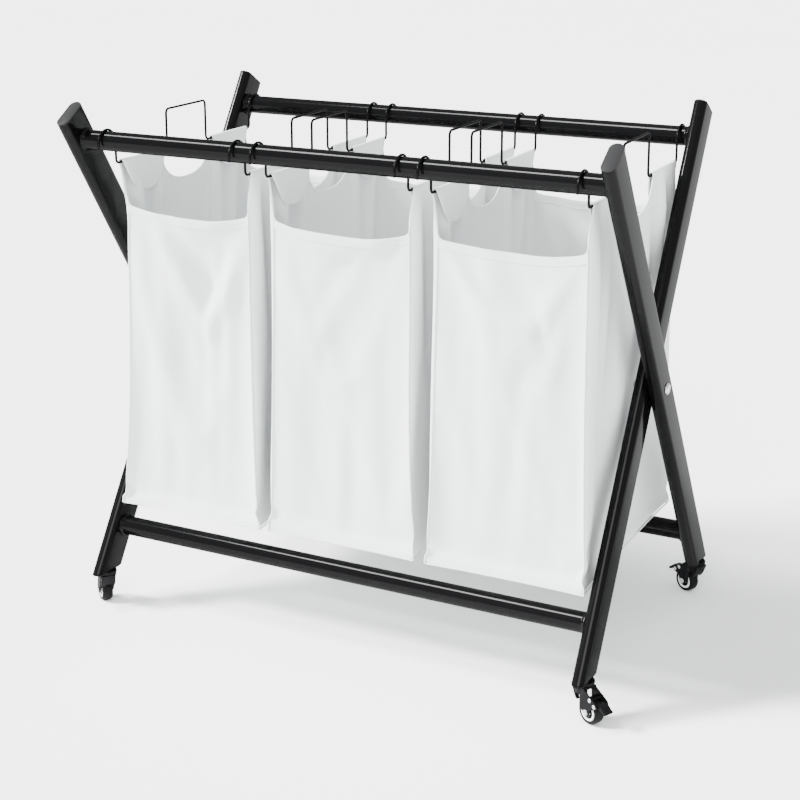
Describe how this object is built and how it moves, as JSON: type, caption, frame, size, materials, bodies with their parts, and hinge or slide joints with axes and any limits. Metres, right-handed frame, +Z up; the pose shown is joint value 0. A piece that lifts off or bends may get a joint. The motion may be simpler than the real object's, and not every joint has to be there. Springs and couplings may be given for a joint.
{
  "type": "laundry sorter on wheels",
  "caption": "Rolling laundry sorter: crossed folding leg frames on swivel casters carry open fabric bags on lift-out wire hangers with raised handles.",
  "frame": {"origin": "on the floor, under the middle of the frame", "axes": "+X along the cross bars to the right, -Y towards the front, where the outer frame's bar is at the top, +Z up"},
  "size_m": [0.7923, 0.4566, 0.7024],
  "materials": {
    "frame_paint": "gloss black powder coat",
    "wire_paint": "gloss black coated wire",
    "dark_plastic": "matte dark grey",
    "black_plastic": "satin black",
    "tyre_rubber": "matte black",
    "wheel_plastic": "satin light grey",
    "bright_steel": "bright zinc plated",
    "bag_fabric": "matte woven white"
  },
  "bodies": {
    "inner_frame": {"inner_leg_left": "frame_paint", "inner_leg_top_plug_left": "dark_plastic", "inner_leg_foot_plug_left": "black_plastic", "inner_leg_right": "frame_paint", "inner_leg_top_plug_right": "dark_plastic", "inner_leg_foot_plug_right": "black_plastic", "rear_top_bar": "frame_paint", "front_bottom_bar": "frame_paint", "pivot_bolt_left": "bright_steel", "pivot_washer_left": "dark_plastic", "pivot_nut_left": "bright_steel", "pivot_bolt_right": "bright_steel", "pivot_washer_right": "dark_plastic", "pivot_nut_right": "bright_steel", "caster_stem_front_left": "bright_steel", "caster_stem_front_right": "bright_steel"},
    "outer_frame": {"outer_leg_left": "frame_paint", "outer_leg_top_plug_left": "dark_plastic", "outer_leg_foot_plug_left": "black_plastic", "outer_leg_right": "frame_paint", "outer_leg_top_plug_right": "dark_plastic", "outer_leg_foot_plug_right": "black_plastic", "front_top_bar": "frame_paint", "rear_bottom_bar": "frame_paint", "caster_stem_rear_left": "bright_steel", "caster_stem_rear_right": "bright_steel"},
    "bag_1_set": {"bag_1": "bag_fabric", "bag_1_hanger_left": "wire_paint", "bag_1_hanger_right": "wire_paint"},
    "bag_2_set": {"bag_2": "bag_fabric", "bag_2_hanger_left": "wire_paint", "bag_2_hanger_right": "wire_paint"},
    "bag_3_set": {"bag_3": "bag_fabric", "bag_3_hanger_left": "wire_paint", "bag_3_hanger_right": "wire_paint"},
    "caster_front_left": {"caster_fork_front_left": "black_plastic", "caster_axle_front_left": "bright_steel"},
    "wheel_front_left": {"caster_tyre_front_left": "tyre_rubber", "caster_wheel_centre_front_left": "wheel_plastic"},
    "caster_front_right": {"caster_fork_front_right": "black_plastic", "caster_axle_front_right": "bright_steel", "brake_pin_front_right": "bright_steel", "brake_spring_pin_front_right": "bright_steel"},
    "wheel_front_right": {"caster_tyre_front_right": "tyre_rubber", "caster_wheel_centre_front_right": "wheel_plastic"},
    "pedal_front_right": {"brake_pedal_front_right": "black_plastic"},
    "caster_rear_left": {"caster_fork_rear_left": "black_plastic", "caster_axle_rear_left": "bright_steel"},
    "wheel_rear_left": {"caster_tyre_rear_left": "tyre_rubber", "caster_wheel_centre_rear_left": "wheel_plastic"},
    "caster_rear_right": {"caster_fork_rear_right": "black_plastic", "caster_axle_rear_right": "bright_steel", "brake_pin_rear_right": "bright_steel", "brake_spring_pin_rear_right": "bright_steel"},
    "wheel_rear_right": {"caster_tyre_rear_right": "tyre_rubber", "caster_wheel_centre_rear_right": "wheel_plastic"},
    "pedal_rear_right": {"brake_pedal_rear_right": "black_plastic"}
  },
  "joints": [
    {"name": "frame_fold", "type": "hinge", "parent": "inner_frame", "child": "outer_frame", "pos_m": [0, 0, 0.3625], "axis": [-1, 0, 0], "range_deg": [0, 45], "deforming": ["bag_1", "bag_1_hanger_left", "bag_1_hanger_right", "bag_2", "bag_2_hanger_left", "bag_2_hanger_right", "bag_3", "bag_3_hanger_left", "bag_3_hanger_right"]},
    {"name": "bag_1_lift", "type": "slide", "parent": "inner_frame", "child": "bag_1_set", "axis": [0, 0, 1], "range_m": [0, 0.56]},
    {"name": "bag_2_lift", "type": "slide", "parent": "inner_frame", "child": "bag_2_set", "axis": [0, 0, 1], "range_m": [0, 0.56]},
    {"name": "bag_3_lift", "type": "slide", "parent": "inner_frame", "child": "bag_3_set", "axis": [0, 0, 1], "range_m": [0, 0.56]},
    {"name": "swivel_front_left", "type": "hinge", "parent": "inner_frame", "child": "caster_front_left", "pos_m": [-0.3514, -0.19845, 0.0445], "axis": [0, 0, 1], "continuous": true},
    {"name": "roll_front_left", "type": "hinge", "parent": "caster_front_left", "child": "wheel_front_left", "pos_m": [-0.36289, -0.18881, 0.016], "axis": [-0.6428, -0.766, 0], "continuous": true},
    {"name": "swivel_front_right", "type": "hinge", "parent": "inner_frame", "child": "caster_front_right", "pos_m": [0.3514, -0.19845, 0.0445], "axis": [0, 0, 1], "continuous": true},
    {"name": "roll_front_right", "type": "hinge", "parent": "caster_front_right", "child": "wheel_front_right", "pos_m": [0.36464, -0.20549, 0.016], "axis": [0.4695, 0.8829, 0], "continuous": true},
    {"name": "brake_front_right", "type": "hinge", "parent": "caster_front_right", "child": "pedal_front_right", "pos_m": [0.37743, -0.21229, 0.0295], "axis": [0.4695, 0.8829, 0], "range_deg": [0, 18]},
    {"name": "swivel_rear_left", "type": "hinge", "parent": "outer_frame", "child": "caster_rear_left", "pos_m": [-0.371, 0.19845, 0.0445], "axis": [0, 0, 1], "continuous": true},
    {"name": "roll_rear_left", "type": "hinge", "parent": "caster_rear_left", "child": "wheel_rear_left", "pos_m": [-0.38249, 0.20809, 0.016], "axis": [-0.6428, -0.766, 0], "continuous": true},
    {"name": "swivel_rear_right", "type": "hinge", "parent": "outer_frame", "child": "caster_rear_right", "pos_m": [0.371, 0.19845, 0.0445], "axis": [0, 0, 1], "continuous": true},
    {"name": "roll_rear_right", "type": "hinge", "parent": "caster_rear_right", "child": "wheel_rear_right", "pos_m": [0.35776, 0.20549, 0.016], "axis": [-0.4695, -0.8829, 0], "continuous": true},
    {"name": "brake_rear_right", "type": "hinge", "parent": "caster_rear_right", "child": "pedal_rear_right", "pos_m": [0.34497, 0.21229, 0.0295], "axis": [-0.4695, -0.8829, 0], "range_deg": [0, 18]}
  ]
}
